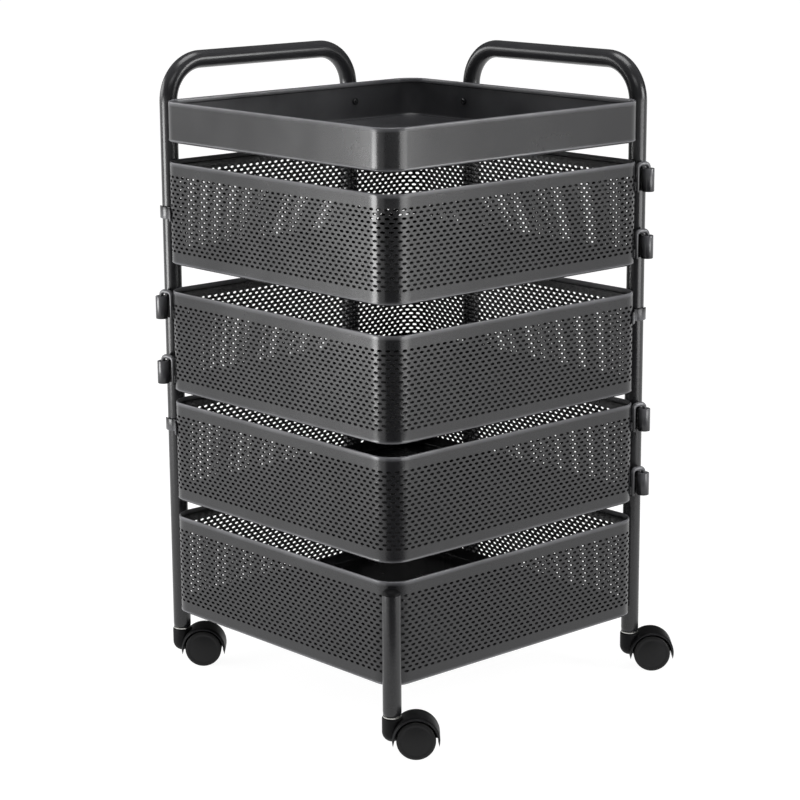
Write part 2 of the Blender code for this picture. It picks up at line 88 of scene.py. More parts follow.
towards_camera = Vector((
    math.sin(CAMERA_AZIMUTH) * math.cos(CAMERA_ELEVATION),
    -math.cos(CAMERA_AZIMUTH) * math.cos(CAMERA_ELEVATION),
    math.sin(CAMERA_ELEVATION),
))
rightwards = Vector((math.cos(CAMERA_AZIMUTH), math.sin(CAMERA_AZIMUTH), 0))
upwards = towards_camera.cross(rightwards)
lens = bpy.data.cameras.new("camera")
lens.sensor_width = SENSOR_MM
lens.lens = FOCAL_PIXELS * SENSOR_MM / FRAME_PIXELS
camera = bpy.data.objects.new("camera", lens)
bpy.context.scene.collection.objects.link(camera)
axes = Matrix((rightwards, upwards, towards_camera)).transposed().to_4x4()
place = Matrix.Translation(AIM + CAMERA_DISTANCE * towards_camera)
camera.matrix_world = place @ axes @ Matrix.Rotation(CAMERA_ROLL, 4, "Z")
bpy.context.scene.camera = camera
print("camera: lens", round(lens.lens, 1), "mm")

# %% [markdown]
# ## Finishes
# Almost everything is steel sheet, tube or rod under a satin black powder coat. The casters are moulded
# black plastic, and their stems are zinc-plated. Each finish is a Principled shader fed by a few textures
# on Object coordinates, so its grain is measured in millimetres and moves with the piece. The main helper
# adds a node, sets its properties, and links or sets its inputs. The others are short forms of it.

# %% Helpers for finishes
MM = 0.001


def linear(code):
    """Hex sRGB to linear: the low part is divided by 12.92, the rest follows a power of 2.4."""
    values = np.array([int(code[i:i + 2], 16) for i in (1, 3, 5)]) / 255
    values = np.where(values <= 0.04045, values / 12.92, ((values + 0.055) / 1.055) ** 2.4)
    return (*values.tolist(), 1.0)


def add_node(tree, kind, inputs, **settings):
    """A node with its settings. An input takes a link from a socket, or else a value."""
    node = tree.nodes.new(kind)
    for key, value in settings.items():
        setattr(node, key, value)
    for key, value in inputs.items():
        if isinstance(value, bpy.types.NodeSocket):
            tree.links.new(value, node.inputs[key])
        else:
            node.inputs[key].default_value = value
    return node


def new_finish(name):
    """An empty finish: its material, node tree, Principled shader and Object coordinates."""
    material = bpy.data.materials.new(name)
    material.use_nodes = True
    tree = material.node_tree
    where = add_node(tree, "ShaderNodeTexCoord", {}).outputs["Object"]
    return material, tree, tree.nodes["Principled BSDF"], where


def per_mm(size):
    """Texture scale, in cycles per metre, of a pattern whose features are this many millimetres wide."""
    return 1 / (size * MM)


def noise(tree, where, size, detail, **more):
    """Noise whose features are this many millimetres wide."""
    inputs = {"Vector": where, "Scale": per_mm(size), "Detail": detail, **more}
    return add_node(tree, "ShaderNodeTexNoise", inputs).outputs["Fac"]


def ranged(tree, value, low, high, start=0.3, stop=0.7):
    """A value carried from the range between start and stop to the one between low and high."""
    return add_node(tree, "ShaderNodeMapRange", {0: value, 1: start, 2: stop, 3: low, 4: high}).outputs[0]


def worked(tree, operation, *values):
    """Result of a sum, product or the like."""
    return add_node(tree, "ShaderNodeMath", dict(enumerate(values)), operation=operation).outputs[0]


def mixed(tree, share, first, second):
    """Colour between two, by a share. Each colour is a hex code or comes from a socket."""
    first, second = (linear(one) if isinstance(one, str) else one for one in (first, second))
    return add_node(tree, "ShaderNodeMix", {0: share, 6: first, 7: second}, data_type="RGBA").outputs[2]


def wear_and_painted_light_of(tree):
    """How much a place is worn or painted paler as a highlight or as light, from the mesh."""
    return add_node(tree, "ShaderNodeAttribute", {}, attribute_name="rub").outputs["Fac"]


def feed(tree, shader, colour, roughness, height, strength, depth):
    """Link a finish's colour, its roughness and a bump of a strength and a depth to its shader."""
    skin = add_node(tree, "ShaderNodeBump", {"Strength": strength, "Distance": depth, "Height": height})
    tree.links.new(colour, shader.inputs["Base Color"])
    tree.links.new(roughness, shader.inputs["Roughness"])
    tree.links.new(skin.outputs["Normal"], shader.inputs["Normal"])


print("finish helpers ready")

# %% [markdown]
# ### Satin black powder coat
# Polyester powder is sprayed on the steel and baked until it flows. It sets with a soft pebbled skin,
# called orange peel, with features of one to two millimetres. That skin spreads highlights into the broad
# grey sheen of the flat walls. A finer grit, drawn coarser than the real one so that it shows, breaks the
# colour up a little. Edges and grips are made slightly smoother and paler. Grips are rubbed by hands; rims
# carry wear and a painted highlight, bottom folds and hook arches a painted highlight, and the tray's inside
# wear and painted light. How much of this a place takes is stored on the mesh as one attribute.

# %% Powder coat
coat, tree, shader, where = new_finish("black_powder_coat")
peel = noise(tree, where, 1.9, 2.0)
grit = noise(tree, where, 1.1, 3.0)
haze = noise(tree, where, 70, 5.0)
patchy = worked(tree, "MULTIPLY", wear_and_painted_light_of(tree), ranged(tree, haze, 0.5, 1.0))
speckle = mixed(tree, grit, "#1a1a1c", "#242426")
# The colour goes pale where that attribute rises: wear on grips, painted highlights on rims, bottom folds
# and hook arches, painted light inside the tray.
colour = mixed(tree, patchy, speckle, "#86868a")
sheen_spread = ranged(tree, haze, 0.21, 0.29)
smoothed = worked(tree, "MULTIPLY_ADD", patchy, -0.12, sheen_spread)
feed(tree, shader, colour, smoothed, peel, 0.42, 0.12 * MM)
shader.inputs["IOR"].default_value = 1.5
print("finish:", coat.name)

# %% [markdown]
# ### Moulded ABS, nylon and zinc
# The hoods and the leg's end cap are ABS from a spark-eroded mould, so they carry a fine even grain. The
# wheels are nylon from a polished mould, smoother and with faint scuffs. The stems and axles are steel:
# drawn or turned, then zinc-plated, which leaves fine lines along the metal and a mottled tone.

# %% Plastics and plated steel
abs_plastic, tree, shader, where = new_finish("moulded_black_abs")
grain = noise(tree, where, 0.9, 2.0)
bloom = noise(tree, where, 14, 4.0)
# Where the attribute rises, along the edges of a hood's skin, the colour is painted paler as a highlight
# line.
colour = mixed(tree, wear_and_painted_light_of(tree), mixed(tree, bloom, "#0e0e0f", "#161617"), "#2e2e30")
feed(tree, shader, colour, ranged(tree, bloom, 0.42, 0.54), grain, 0.3, 0.1 * MM)
shader.inputs["IOR"].default_value = 1.53
shader.inputs["Specular IOR Level"].default_value = 0.1

nylon, tree, shader, where = new_finish("black_nylon")
scuff = noise(tree, where, 5, 6.0, Roughness=0.7)
swirl = noise(tree, where, 1.4, 2.0)
worn = worked(tree, "MULTIPLY", wear_and_painted_light_of(tree), scuff)
colour = mixed(tree, worn, mixed(tree, scuff, "#111112", "#1a1a1b"), "#474644")
feed(tree, shader, colour, ranged(tree, scuff, 0.34, 0.50), swirl, 0.15, 0.1 * MM)
shader.inputs["IOR"].default_value = 1.53
shader.inputs["Specular IOR Level"].default_value = 0.2

zinc, tree, shader, where = new_finish("zinc_plated_steel")
along_metal = add_node(tree, "ShaderNodeMapping", {"Vector": where, "Scale": (1, 1, 0.15)})
lines = noise(tree, along_metal.outputs[0], 0.6, 3.0)
spangle = add_node(tree, "ShaderNodeTexVoronoi", {"Vector": where, "Scale": per_mm(3)})
colour = mixed(tree, spangle.outputs["Distance"], "#d6d5d0", "#b3b3b0")
feed(tree, shader, colour, ranged(tree, lines, 0.24, 0.42), lines, 0.2, 0.05 * MM)
shader.inputs["Metallic"].default_value = 1.0
print("finishes:", abs_plastic.name, nylon.name, zinc.name)

# %% [markdown]
# ## From arrays to pieces
# Each shape below is a grid of points: a section carried along a path, or a profile turned about an axis.
# A shell is such a grid with its ends closed. Its signed volume tells whether its faces point out, and a
# shell that is inside out is turned round before it becomes a mesh. A piece is one object made of one or
# more shells. It rides on a body of the frame and stands for the nodes that it replaces.

# %% Helpers for shapes
def grid(rows, columns, wrap_rows=False):
    """Quads between neighbouring points of a grid whose columns run round and close."""
    row = np.arange(rows if wrap_rows else rows - 1)[:, None]
    column = np.arange(columns)[None, :]
    after = (column + 1) % columns
    above = (row + 1) % rows
    here, there = row * columns, above * columns
    return np.stack([here + column, here + after, there + after, there + column], axis=-1).reshape(-1, 4)


def shell(points, *faces):
    """A closed shell that faces out.

    Its signed volume is a sixth of the sum of the triple products of its fan triangles. Where that is
    negative, every face is turned round.
    """
    points = np.asarray(points, float).reshape(-1, 3)
    volume = 0.0
    for block in faces:
        first = points[block[:, :1]]
        fans = np.cross(points[block[:, 1:-1]], points[block[:, 2:]])
        volume += float((first * fans).sum())
    turned = [block[:, ::-1] for block in faces] if volume < 0 else list(faces)
    return points, turned


def tube_of_rings(rings, hollow=False):
    """Shell through rings of points. A hollow one joins its last ring to its first, others get flat ends."""
    count, sides = rings.shape[:2]
    if hollow:
        return shell(rings, grid(count, sides, wrap_rows=True))
    ends = np.arange(sides)[None, :]
    return shell(rings, grid(count, sides), ends[:, ::-1], ends + (count - 1) * sides)


def moved(one, matrix):
    """A shell after a turn and a shift."""
    turn = np.array(matrix)
    return one[0] @ turn[:3, :3].T + turn[:3, 3], one[1]


def mesh_of(name, shells):
    """One mesh of several shells, with face numbers shifted by the points that come before."""
    starts = np.cumsum([0] + [len(points) for points, faces in shells])
    blocks = [block + start for (points, faces), start in zip(shells, starts) for block in faces]
    sizes = np.concatenate([np.full(len(block), block.shape[1]) for block in blocks])
    corners = np.concatenate([block.ravel() for block in blocks])
    mesh = bpy.data.meshes.new(name)
    mesh.vertices.add(int(starts[-1]))
    places = np.concatenate([points for points, faces in shells])
    mesh.vertices.foreach_set("co", places.astype(np.float32).ravel())
    mesh.loops.add(len(corners))
    mesh.loops.foreach_set("vertex_index", corners.astype(np.int32))
    mesh.polygons.add(len(sizes))
    mesh.polygons.foreach_set("loop_start", (np.cumsum(sizes) - sizes).astype(np.int32))
    mesh.update(calc_edges=True)
    return mesh


SHARP = math.radians(38)


def dress(name, mesh, finish, body, nodes, rub=None):
    """A finished piece: smooth shading with sharp creases, its finish, body and the nodes it replaces."""
    mesh.shade_smooth()
    mesh.set_sharp_from_angle(angle=SHARP)
    mesh.materials.clear()
    mesh.materials.append(finish)
    points = np.empty(len(mesh.vertices) * 3, np.float32)
    mesh.vertices.foreach_get("co", points)
    points = points.reshape(-1, 3)
    weights = np.zeros(len(points)) if rub is None else np.clip(rub(points), 0, 1)
    mesh.attributes.new("rub", "FLOAT", "POINT").data.foreach_set("value", weights.astype(np.float32))
    piece = bpy.data.objects.new(name, mesh)
    bpy.context.scene.collection.objects.link(piece)
    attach(piece, body)
    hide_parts(*nodes)
    return piece


def near(values, level, spread):
    """Bell curve: one at the level, falling off over the spread."""
    return np.exp(-(((values - level) / spread) ** 2))


print("shape helpers ready")

# %% [markdown]
# ## Tray and baskets
# All five are pressed and folded from one square of sheet with round corners: a flat floor, a small fold
# up into the wall with a slim bead along it, and a rim folded over inwards to a smooth bead. The wall's
# section is a list of insets and heights. Carrying it round the rounded square gives the whole tub. Sizes
# of the tubs come from the frame's boxes, and the bends are the same as in the frame.

# %% Outline and section of a tub
CORNER_R = 26 * MM
SHEET = 1.2 * MM
FLOOR_FOLD_R = 4 * MM
HEM_HEIGHT = 5 * MM
HEM_THICKNESS = 2.6 * MM
FOLD_STEPS = 13
RIM_STEPS = 9
EDGE_BEAD = 0.6 * MM
EDGE_BEAD_RISE = 2.2 * MM
EDGE_BEAD_SPREAD = 0.9 * MM
FLOOR_MARGIN = 3 * MM
ROUNDING = 1e-9
# Spread of a tub's paler rim: wear and a painted highlight.
RIM_WEAR_AND_HIGHLIGHT_SPREAD = 1.8 * MM
# Paler outside of a tub's bottom fold, a painted highlight line: its strength, height, spread and where it
# ends.
FOLD_HIGHLIGHT = 0.65
FOLD_HIGHLIGHT_RISE = 2.4 * MM
FOLD_HIGHLIGHT_SPREAD = 1.2 * MM
FOLD_HIGHLIGHT_END = 1.5 * MM

tub_low, tub_high = (np.array(corner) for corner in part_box("bottom_basket"))
MIDDLE = (tub_low + tub_high)[:2] / 2
CORNER_C = (tub_high - tub_low)[0] / 2 - CORNER_R
QUARTER = 2 * CORNER_C + math.pi / 2 * CORNER_R
ROUND = 4 * QUARTER


def on_wall(along, inset, height):
    """Place on a tub's wall, a length along its outline, an inset from its outer face and a height.

    Each quarter of the outline is a straight side and then a quarter circle about a corner's centre. The
    place is the foot on the square of corner centres, plus the corner radius less the inset, outwards.
    """
    along, inset, height = np.broadcast_arrays(np.mod(along, ROUND), inset, height)
    quarters = np.floor(along / QUARTER + ROUNDING)
    start = quarters * math.pi / 2
    run = along - quarters * QUARTER
    facing = start + np.clip(run / CORNER_R - 2 * CORNER_C / CORNER_R, 0, None)
    side = np.minimum(run, 2 * CORNER_C) - CORNER_C
    x = CORNER_C * np.cos(start) - side * np.sin(start) + (CORNER_R - inset) * np.cos(facing)
    y = CORNER_C * np.sin(start) + side * np.cos(start) + (CORNER_R - inset) * np.sin(facing)
    return np.stack([MIDDLE[0] + x, MIDDLE[1] + y, height], axis=-1)


def section_of(low, high, outside, inside):
    """Section of a tub's wall, as rows of inset and height.

    It goes round the floor's outer fold with its slim bead, up the outside at the given heights,
    over the rim in a half circle, down the folded hem, down the inside and round the inner fold. A flat
    row at each end keeps the shading of the fold off the floor.
    """
    quarter = np.linspace(0, math.pi / 2, FOLD_STEPS)
    half = np.linspace(math.pi, 0, RIM_STEPS)
    inner_r = FLOOR_FOLD_R - SHEET
    bead = HEM_THICKNESS / 2
    rise = FLOOR_FOLD_R * (1 - np.cos(quarter))
    swell = EDGE_BEAD * near(rise, EDGE_BEAD_RISE, EDGE_BEAD_SPREAD)
    flat = FLOOR_FOLD_R + FLOOR_MARGIN
    parts = [
        np.array([[flat, low]]),
        np.column_stack([FLOOR_FOLD_R * (1 - np.sin(quarter)) - swell, low + rise]),
        # Row just above the bottom fold, where its painted highlight ends.
        np.array([[0, low + FLOOR_FOLD_R + FOLD_HIGHLIGHT_END]]),
        np.column_stack([np.zeros_like(outside), outside]),
        np.array([[0, high - HEM_HEIGHT]]),
        np.column_stack([bead + bead * np.cos(half), high - bead + bead * np.sin(half)]),
        np.array([[HEM_THICKNESS, high - HEM_HEIGHT], [SHEET, high - HEM_HEIGHT - HEM_THICKNESS + SHEET]]),
        np.column_stack([np.full_like(inside, SHEET), inside[::-1]]),
        np.column_stack([
            FLOOR_FOLD_R - inner_r * np.sin(quarter[::-1]),
            low + FLOOR_FOLD_R - inner_r * np.cos(quarter[::-1]),
        ]),
        np.array([[flat, low + SHEET]]),
    ]
    return np.concatenate(parts), [len(part) for part in parts]


def inset_of(points):
    """Inset from a tub's outer face: the corner radius less the way to the square of corner centres."""
    beyond = np.clip(np.abs(points[:, :2] - MIDDLE) - CORNER_C, 0, None)
    return CORNER_R - np.hypot(beyond[:, 0], beyond[:, 1])


def tub_wear_and_painted_light(low, high, within=0.0):
    """Paler places of a tub: its rim, worn and painted with a highlight, the outside of its bottom fold,
    painted with a highlight line, and its inside by a given share, worn and painted with light.
    """
    def paler_at(points):
        height = points[:, 2]
        outside = inset_of(points) < SHEET / 2
        edge = near(height, low + FOLD_HIGHLIGHT_RISE, FOLD_HIGHLIGHT_SPREAD) * outside
        lining = ~outside & (height > low + SHEET / 2)
        return near(height, high, RIM_WEAR_AND_HIGHLIGHT_SPREAD) + FOLD_HIGHLIGHT * edge + within * lining
    return paler_at


print("outline of a tub:", round(ROUND * 1000), "mm round")

# %% [markdown]
# ### The top tray
# The tray has plain walls, so its section is simply carried round the outline. Extra columns sit in the
# corners, where the outline turns. Its inside is a little paler: wear from what is put down in the tray,
# and painted light that brightens the inside.

# %% Top tray
CORNER_COLUMNS = 20
SIDE_COLUMNS = 10
# Share of the tray's paler inside: wear and painted light.
TRAY_WEAR_AND_LIGHT = 0.22


def plain_tub(low, high):
    """Tub with plain walls: each row of the section becomes a ring of points along the outline."""
    straight = np.linspace(0, 2 * CORNER_C, SIDE_COLUMNS, endpoint=False)
    bend = 2 * CORNER_C + np.linspace(0, math.pi / 2 * CORNER_R, CORNER_COLUMNS, endpoint=False)
    one_side = np.concatenate([straight, bend])
    along = (np.arange(4)[:, None] * QUARTER + one_side).ravel()
    empty = np.zeros(0)
    section, lengths = section_of(low, high, empty, empty)
    return tube_of_rings(on_wall(along[None, :], section[:, :1], section[:, 1:]))


low, high = (corner.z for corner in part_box("top_tray"))
tray = dress(
    "tray_sheet", mesh_of("tray_sheet", [plain_tub(low, high)]), coat, "tower", ["top_tray"],
    tub_wear_and_painted_light(low, high, TRAY_WEAR_AND_LIGHT),
)
print("tray:", len(tray.data.polygons), "faces")

# %% [markdown]
# ### The perforated baskets
# Nineteen staggered rows of punched holes run all the way round each basket, corners included. A bump or
# a transparent texture would look flat, so the holes are real. The wall is laid out like brickwork: each
# brick has six points on its border, which it shares with its neighbours, and a ring of eight round its
# hole. The same is done for the inner face, where the punch leaves a low burr, and the two rings are joined
# by the hole's own wall.

# %% Perforated baskets
HOLES_ROUND = 160
HOLE_ROWS = 19
ROW_STEP = 4.62 * MM
HOLE_WIDE = 6.0 * MM
HOLE_TALL = 3.0 * MM
BURR = 0.7 * MM
HOLE_SIDES = 8
HALF_PITCH = ROUND / HOLES_ROUND / 2


def bricks(low_line, high_line, column, ring):
    """Faces of one skin round its holes: four quads above and below, and a five-sided one at each side."""
    columns = 2 * HOLES_ROUND
    before, after = (column - 1) % columns, (column + 1) % columns
    column = column % columns
    east, north_east, north, north_west = (ring + i for i in range(HOLE_SIDES // 2))
    west, south_west, south, south_east = (ring + i for i in range(HOLE_SIDES // 2, HOLE_SIDES))
    quads = [
        [low_line + column, low_line + after, south_east, south],
        [low_line + before, low_line + column, south, south_west],
        [high_line + after, high_line + column, north, north_east],
        [high_line + column, high_line + before, north_west, north],
    ]
    fives = [
        [low_line + after, high_line + after, north_east, east, south_east],
        [high_line + before, low_line + before, south_west, west, north_west],
    ]
    return (
        np.concatenate([np.stack(face, axis=-1).reshape(-1, len(face)) for face in group])
        for group in (quads, fives)
    )


def perforated_tub(low, high):
    """Tub whose wall carries staggered rows of oval holes.

    A hole's ring lies at its middle plus half its width times the cosine along the outline, and half its
    height times the sine upwards.
    """
    columns = 2 * HOLES_ROUND
    lines = (low + high - HOLE_ROWS * ROW_STEP) / 2 + ROW_STEP * np.arange(HOLE_ROWS + 1)
    section, lengths = section_of(low, high, lines, lines)
    along = HALF_PITCH * np.arange(columns)
    rings = on_wall(along[None, :], section[:, :1], section[:, 1:])
    outer = sum(lengths[:3])
    inner = sum(lengths[:7])
    bands = grid(len(section), columns).reshape(-1, columns, 4)
    punched = np.concatenate([np.arange(outer, outer + HOLE_ROWS), np.arange(inner, inner + HOLE_ROWS)])
    bands = np.delete(bands, punched, axis=0).reshape(-1, 4)

    row = np.arange(HOLE_ROWS)[:, None]
    column = 2 * np.arange(HOLES_ROUND)[None, :] + 1 + row % 2
    angle = 2 * math.pi * np.arange(HOLE_SIDES) / HOLE_SIDES
    across = HALF_PITCH * column[..., None] + HOLE_WIDE / 2 * np.cos(angle)
    up = (lines[:-1] + ROW_STEP / 2)[:, None, None] + HOLE_TALL / 2 * np.sin(angle)
    holes = [on_wall(across, inset, up).reshape(-1, 3) for inset in (0, SHEET + BURR)]
    points = np.concatenate([rings.reshape(-1, 3), *holes])

    count = HOLE_ROWS * HOLES_ROUND
    first = len(section) * columns + HOLE_SIDES * np.arange(count).reshape(HOLE_ROWS, HOLES_ROUND)
    second = first + HOLE_SIDES * count
    outside = bricks((outer + row) * columns, (outer + row + 1) * columns, column, first)
    low_inside = inner + HOLE_ROWS - row
    inside = bricks(low_inside * columns, (low_inside - 1) * columns, column, second)
    step = np.arange(HOLE_SIDES)
    here, there = first[..., None] + step, second[..., None] + step
    following = (step + 1) % HOLE_SIDES
    walls = np.stack([here, first[..., None] + following, second[..., None] + following, there], axis=-1)
    floor = np.arange(columns)[None, :]
    return shell(
        points, bands, *outside, *(block[:, ::-1] for block in inside), walls.reshape(-1, 4),
        floor[:, ::-1], floor + (len(section) - 1) * columns,
    )


basket_bodies = {name: name + "_basket_body" for name in ("second", "third", "fourth")}
basket_bodies["bottom"] = "tower"
for name, body in basket_bodies.items():
    low, high = (corner.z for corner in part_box(name + "_basket"))
    mesh = mesh_of(name + "_mesh", [perforated_tub(low, high)])
    rub = tub_wear_and_painted_light(low, high)
    dress(name + "_perforated_basket", mesh, coat, body, [name + "_basket"], rub)
print("baskets:", HOLE_ROWS * HOLES_ROUND, "holes each")

# %% [markdown]
# ## Tubes
# Each side frame is one tube bent to an inverted U. The tube is a circle carried along a path of straight
# legs, two quarter bends and a straight handle. At its lower ends the tube closes in a little round the
# caster's stem. Handles are rubbed by hands, so the attribute of wear and painted light rises there.

# %% Side frames and front leg
TUBE_R = 10 * MM
TUBE_WALL = 1.2 * MM
TUBE_SIDES = 40
HANDLE_BEND_R = 45 * MM
BEND_STEPS = 20
END_TAPER = 1.1 * MM
END_LENGTH = 4.5 * MM
UP = np.array([0.0, 0.0, 1.0])


def arch(start, stop, top, radius, steps):
    """Path of an inverted U: a leg up, a quarter circle, a straight top, a quarter circle and a leg down."""
    start, stop = np.array(start, float), np.array(stop, float)
    span = (stop - start) * (1, 1, 0)
    across = span / np.linalg.norm(span)
    turn = np.linspace(0, math.pi / 2, steps)[:, None]
    rise = np.array([0, 0, top - radius])
    first = start * (1, 1, 0) + rise + radius * (across * (1 - np.cos(turn)) + UP * np.sin(turn))
    second = stop * (1, 1, 0) + rise + radius * (across * (np.sin(turn) - 1) + UP * np.cos(turn))
    return np.concatenate([[start], first, second, [stop]])


def carried(path, radius, sides):
    """Rings of a round section along a path that lies in one upright plane.

    The heading is the path's own slope, one axis of the ring is level across that plane, and the other is
    the cross product of the two. A radius is given for each point of the path.
    """
    steps = np.diff(path, axis=0)
    steps /= np.linalg.norm(steps, axis=1, keepdims=True)
    heading = np.concatenate([steps[:1], steps[:-1] + steps[1:], steps[-1:]])
    heading /= np.linalg.norm(heading, axis=1, keepdims=True)
    plane = path[-1] - path[0]
    level = np.cross(plane, UP) if np.linalg.norm(plane[:2]) > 1e-6 else np.array([1.0, 0.0, 0.0])
    level = level / np.linalg.norm(level)
    other = np.cross(heading, level)
    angle = 2 * math.pi * np.arange(sides) / sides
    ring = level * np.cos(angle)[:, None] + other[:, None, :] * np.sin(angle)[:, None]
    return path[:, None, :] + np.broadcast_to(radius, len(path))[:, None, None] * ring


def hollow_tube(path, tapered):
    """Tube with a wall: rings up the outside and back down the bore.

    Its lower end closes in a little, and so does its other end where two ends are tapered.
    """
    closing = END_LENGTH * np.array([0.0, 0.25, 1.0])
    shape = TUBE_R - END_TAPER * np.array([1.0, 0.25, 0.0])
    first = path[0] + closing[:, None] * UP
    last = path[-1] + (closing[:, None] * UP if tapered == 2 else -0.1 * closing[:, None] * UP)
    outside = np.concatenate([first, path[1:-1], last[::-1]])
    end = shape if tapered == 2 else TUBE_R - 0.2 * END_TAPER * np.array([1.0, 0.25, 0.0])
    radius = np.concatenate([shape, np.full(len(path) - 2, TUBE_R), end[::-1]])
    bore = carried(path, TUBE_R - TUBE_WALL - 0.5 * END_TAPER, TUBE_SIDES)
    return tube_of_rings(np.concatenate([carried(outside, radius, TUBE_SIDES), bore[::-1]]), hollow=True)


def pole_places(name):
    """Feet of a side frame's two legs, front first, and the height of its handle, from the frame's box."""
    low, high = (np.array(corner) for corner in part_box(name))
    foot = low[2]
    if name.startswith("left"):
        middle = (low[0] + high[0]) / 2
        return [middle, low[1] + TUBE_R, foot], [middle, high[1] - TUBE_R, foot], high[2] - TUBE_R
    middle = (low[1] + high[1]) / 2
    return [high[0] - TUBE_R, middle, foot], [low[0] + TUBE_R, middle, foot], high[2] - TUBE_R


poles = {}
for name in ("left", "right"):
    front, rear, handle = pole_places(name + "_side_frame")
    poles[name] = np.array(front)
    path = arch(front, rear, handle, HANDLE_BEND_R, BEND_STEPS)
    mesh = mesh_of(name + "_tube", [hollow_tube(path, 2)])
    grip = lambda points, level=handle: 0.15 * near(points[:, 2], level, 22 * MM)
    dress(name + "_bent_tube", mesh, coat, "tower", [name + "_side_frame"], grip)

leg_low, leg_high = (np.array(corner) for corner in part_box("front_leg"))
leg_foot = np.array([*(leg_low + leg_high)[:2] / 2, leg_low[2]])
leg_path = np.array([leg_foot, leg_foot + (0, 0, 0.02), [leg_foot[0], leg_foot[1], leg_high[2]]])
mesh = mesh_of("leg_tube", [hollow_tube(leg_path, 1)])
dress("front_leg_tube", mesh, coat, "tower", ["front_leg"])
print("tubes: handle at", round(handle * 1000), "mm")

# %% [markdown]
# ### The end cap of the front leg
# A moulded plug closes the short leg with a low dome. Like every turned piece here it is a profile of
# radius and height, spun about an upright axis.

# %% End cap
def circle_of(sides, shift=0.0):
    """Points of a unit circle in plan, shifted by a share of a step."""
    angle = 2 * math.pi * (np.arange(sides) + shift) / sides
    return np.stack([np.cos(angle), np.sin(angle), np.zeros(sides)], axis=-1)


def turned(profile, sides):
    """Profile of radius and height spun about the upright axis: each of its points becomes a circle."""
    profile = np.asarray(profile, float)
    return tube_of_rings(profile[:, :1, None] * circle_of(sides, 0.5) + profile[:, 1:, None] * UP)


CAP_GAP = 0.3 * MM
cap_low, cap_high = (corner.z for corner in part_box("front_leg_cap"))
lean = np.linspace(math.pi / 2, 0.03, 12)
dome = cap_high - leg_high[2] - CAP_GAP
cap_seat = leg_high[2] + CAP_GAP
profile = np.concatenate([
    [[TUBE_R * 0.8, cap_low], [TUBE_R * 0.85, cap_seat], [TUBE_R * 0.97, cap_seat]],
    np.column_stack([TUBE_R * np.sin(lean), cap_seat + dome * np.cos(lean)]),
])
cap = moved(turned(profile, TUBE_SIDES), Matrix.Translation((leg_foot[0], leg_foot[1], 0)))
dress("front_leg_dome", mesh_of("dome", [cap]), abs_plastic, "tower", ["front_leg_cap"])
print("cap: dome of", round(dome * 1000, 1), "mm")

# %% [markdown]
# ## Swing hinges
# A middle basket hangs on two hooks of bent rod. Each hook is welded along the basket's corner and drops
# into a short sleeve on the pole, so the basket swings like a gate and lifts off. The sleeve is a thick
# tube with eased ends, and weld beads with a fine ripple join it to the pole.

# %% Hinges
SLEEVE_R = 6.8 * MM
SLEEVE_EASE = 0.7 * MM
SLEEVE_SIDES = 32
ROD_R = 2.5 * MM
ROD_SIDES = 20
ROD_GAP = 0.3 * MM
HOOK_BEND_R = 5 * MM
HOOK_ABOVE_SLEEVE = 0.5 * MM
HOOK_IN_SLEEVE = 20 * MM
HOOK_ANGLE = math.radians(48)
BEAD_R = 1.2 * MM
BEAD_RIPPLE = 2.4 * MM
BEAD_STEPS = 48


def bead(start, stop):
    """Weld bead: a slim rod whose radius swells and shrinks along its length, and closes in at its ends."""
    share = np.linspace(0, 1, BEAD_STEPS)
    length = np.linalg.norm(np.subtract(stop, start))
    ripple = 0.88 + 0.12 * np.cos(2 * math.pi * share * length / BEAD_RIPPLE)
    closing = np.sqrt(np.clip(1 - (2 * share - 1) ** 16, 0.02, None))
    path = np.array(start) + share[:, None] * np.subtract(stop, start)
    return tube_of_rings(carried(path, BEAD_R * ripple * closing, 10))


def sleeve(axis, low, high):
    """Thick tube on the hinge's axis: up the eased outside and back down the bore."""
    ease = SLEEVE_EASE
    bore = ROD_R + ROD_GAP
    profile = np.array([
        [SLEEVE_R - ease, low], [SLEEVE_R - 0.3 * ease, low + 0.3 * ease], [SLEEVE_R, low + ease],
        [SLEEVE_R, high - ease], [SLEEVE_R - 0.3 * ease, high - 0.3 * ease], [SLEEVE_R - ease, high],
        [bore + 0.5 * ease, high], [bore, high - 0.5 * ease],
        [bore, low + 0.5 * ease], [bore + 0.5 * ease, low],
    ])
    rings = profile[:, :1, None] * circle_of(SLEEVE_SIDES) + profile[:, 1:, None] * UP
    return tube_of_rings(rings + np.array([axis[0], axis[1], 0]), hollow=True)


def beads_between(pole, axis, low, high):
    """Two upright beads, each touching pole and sleeve: where circles about the two, grown by it, cross."""
    apart = np.subtract(axis[:2], pole[:2])
    distance = np.linalg.norm(apart)
    along, sideways = apart / distance, np.array([-apart[1], apart[0]]) / distance
    to_pole, to_sleeve = TUBE_R + 0.7 * BEAD_R, SLEEVE_R + 0.7 * BEAD_R
    reach = (distance**2 + to_pole**2 - to_sleeve**2) / (2 * distance)
    spread = math.sqrt(to_pole**2 - reach**2)
    margin = 1.5 * MM
    made = []
    for side in (-1, 1):
        foot = pole[:2] + reach * along + side * spread * sideways
        made.append(bead([*foot, low + margin], [*foot, high - margin]))
    return made


def hook(weld, axis, low, high):
    """Bent rod: a leg along the basket's corner, an arch over the sleeve and a leg down its bore."""
    top = high + HOOK_ABOVE_SLEEVE + HOOK_BEND_R
    path = arch([*weld, low], [*axis[:2], high - HOOK_IN_SLEEVE], top, HOOK_BEND_R, 12)
    radius = np.full(len(path) + 4, ROD_R)
    radius[[0, -1]] = 0.55 * ROD_R
    radius[[1, -2]] = 0.9 * ROD_R
    ends = ROD_R * np.array([0, 0.2, 0.8])[:, None] * UP
    path = np.concatenate([path[:1] + ends, path[1:-1], (path[-1:] + ends)[::-1]])
    return tube_of_rings(carried(path, radius, ROD_SIDES))


